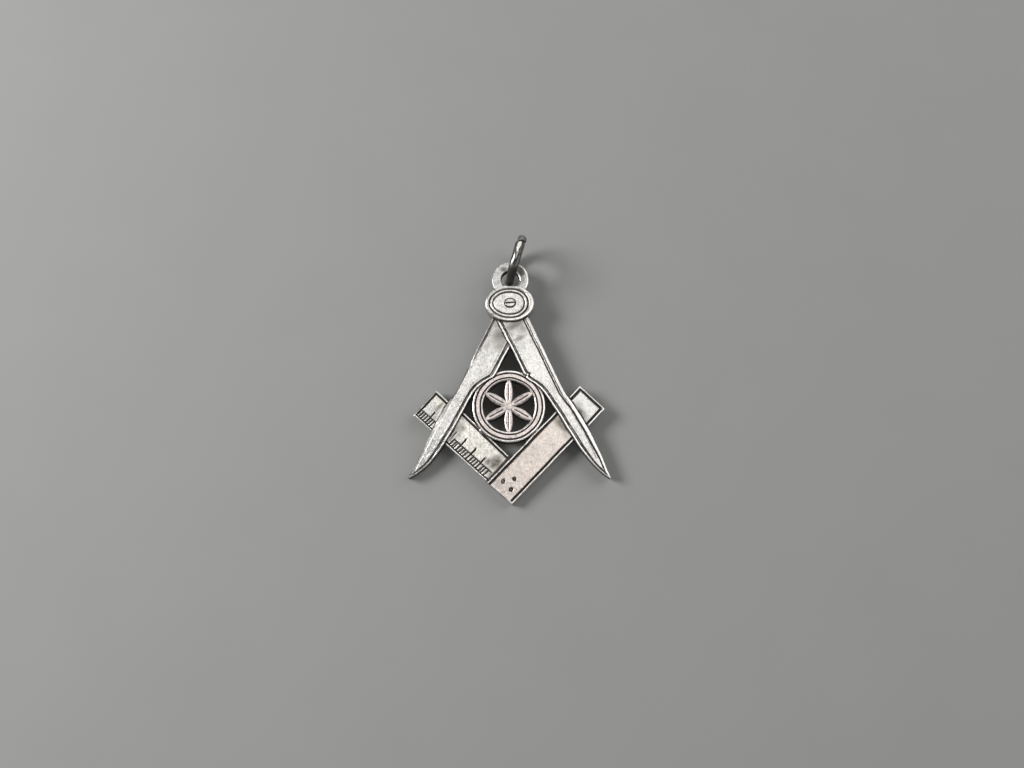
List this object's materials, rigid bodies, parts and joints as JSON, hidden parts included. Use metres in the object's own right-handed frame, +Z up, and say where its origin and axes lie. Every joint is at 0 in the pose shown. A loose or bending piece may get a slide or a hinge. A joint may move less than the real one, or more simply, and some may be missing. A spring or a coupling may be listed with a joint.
{
  "type": "masonic pendant",
  "caption": "Small silver square-and-compasses pendant with a ruled square, a pierced rosette between the legs, an oval screw head, an eye and a loose jump ring.",
  "frame": {"origin": "on the surface it lies on, under the middle of the whole pendant with its ring", "axes": "+Y from the square's corner towards the eye and the ring, +Z up out of the surface, the engraved face up"},
  "size_m": [0.0214, 0.0296, 0.0058],
  "materials": {
    "aged_silver": "worn cast silver, bright on rims and faces, dark oxide in the engraved lines",
    "tarnished_silver": "dark tarnished polished wire"
  },
  "bodies": {
    "root": {"emblem": "aged_silver", "jump_ring": "tarnished_silver"}
  },
  "joints": []
}
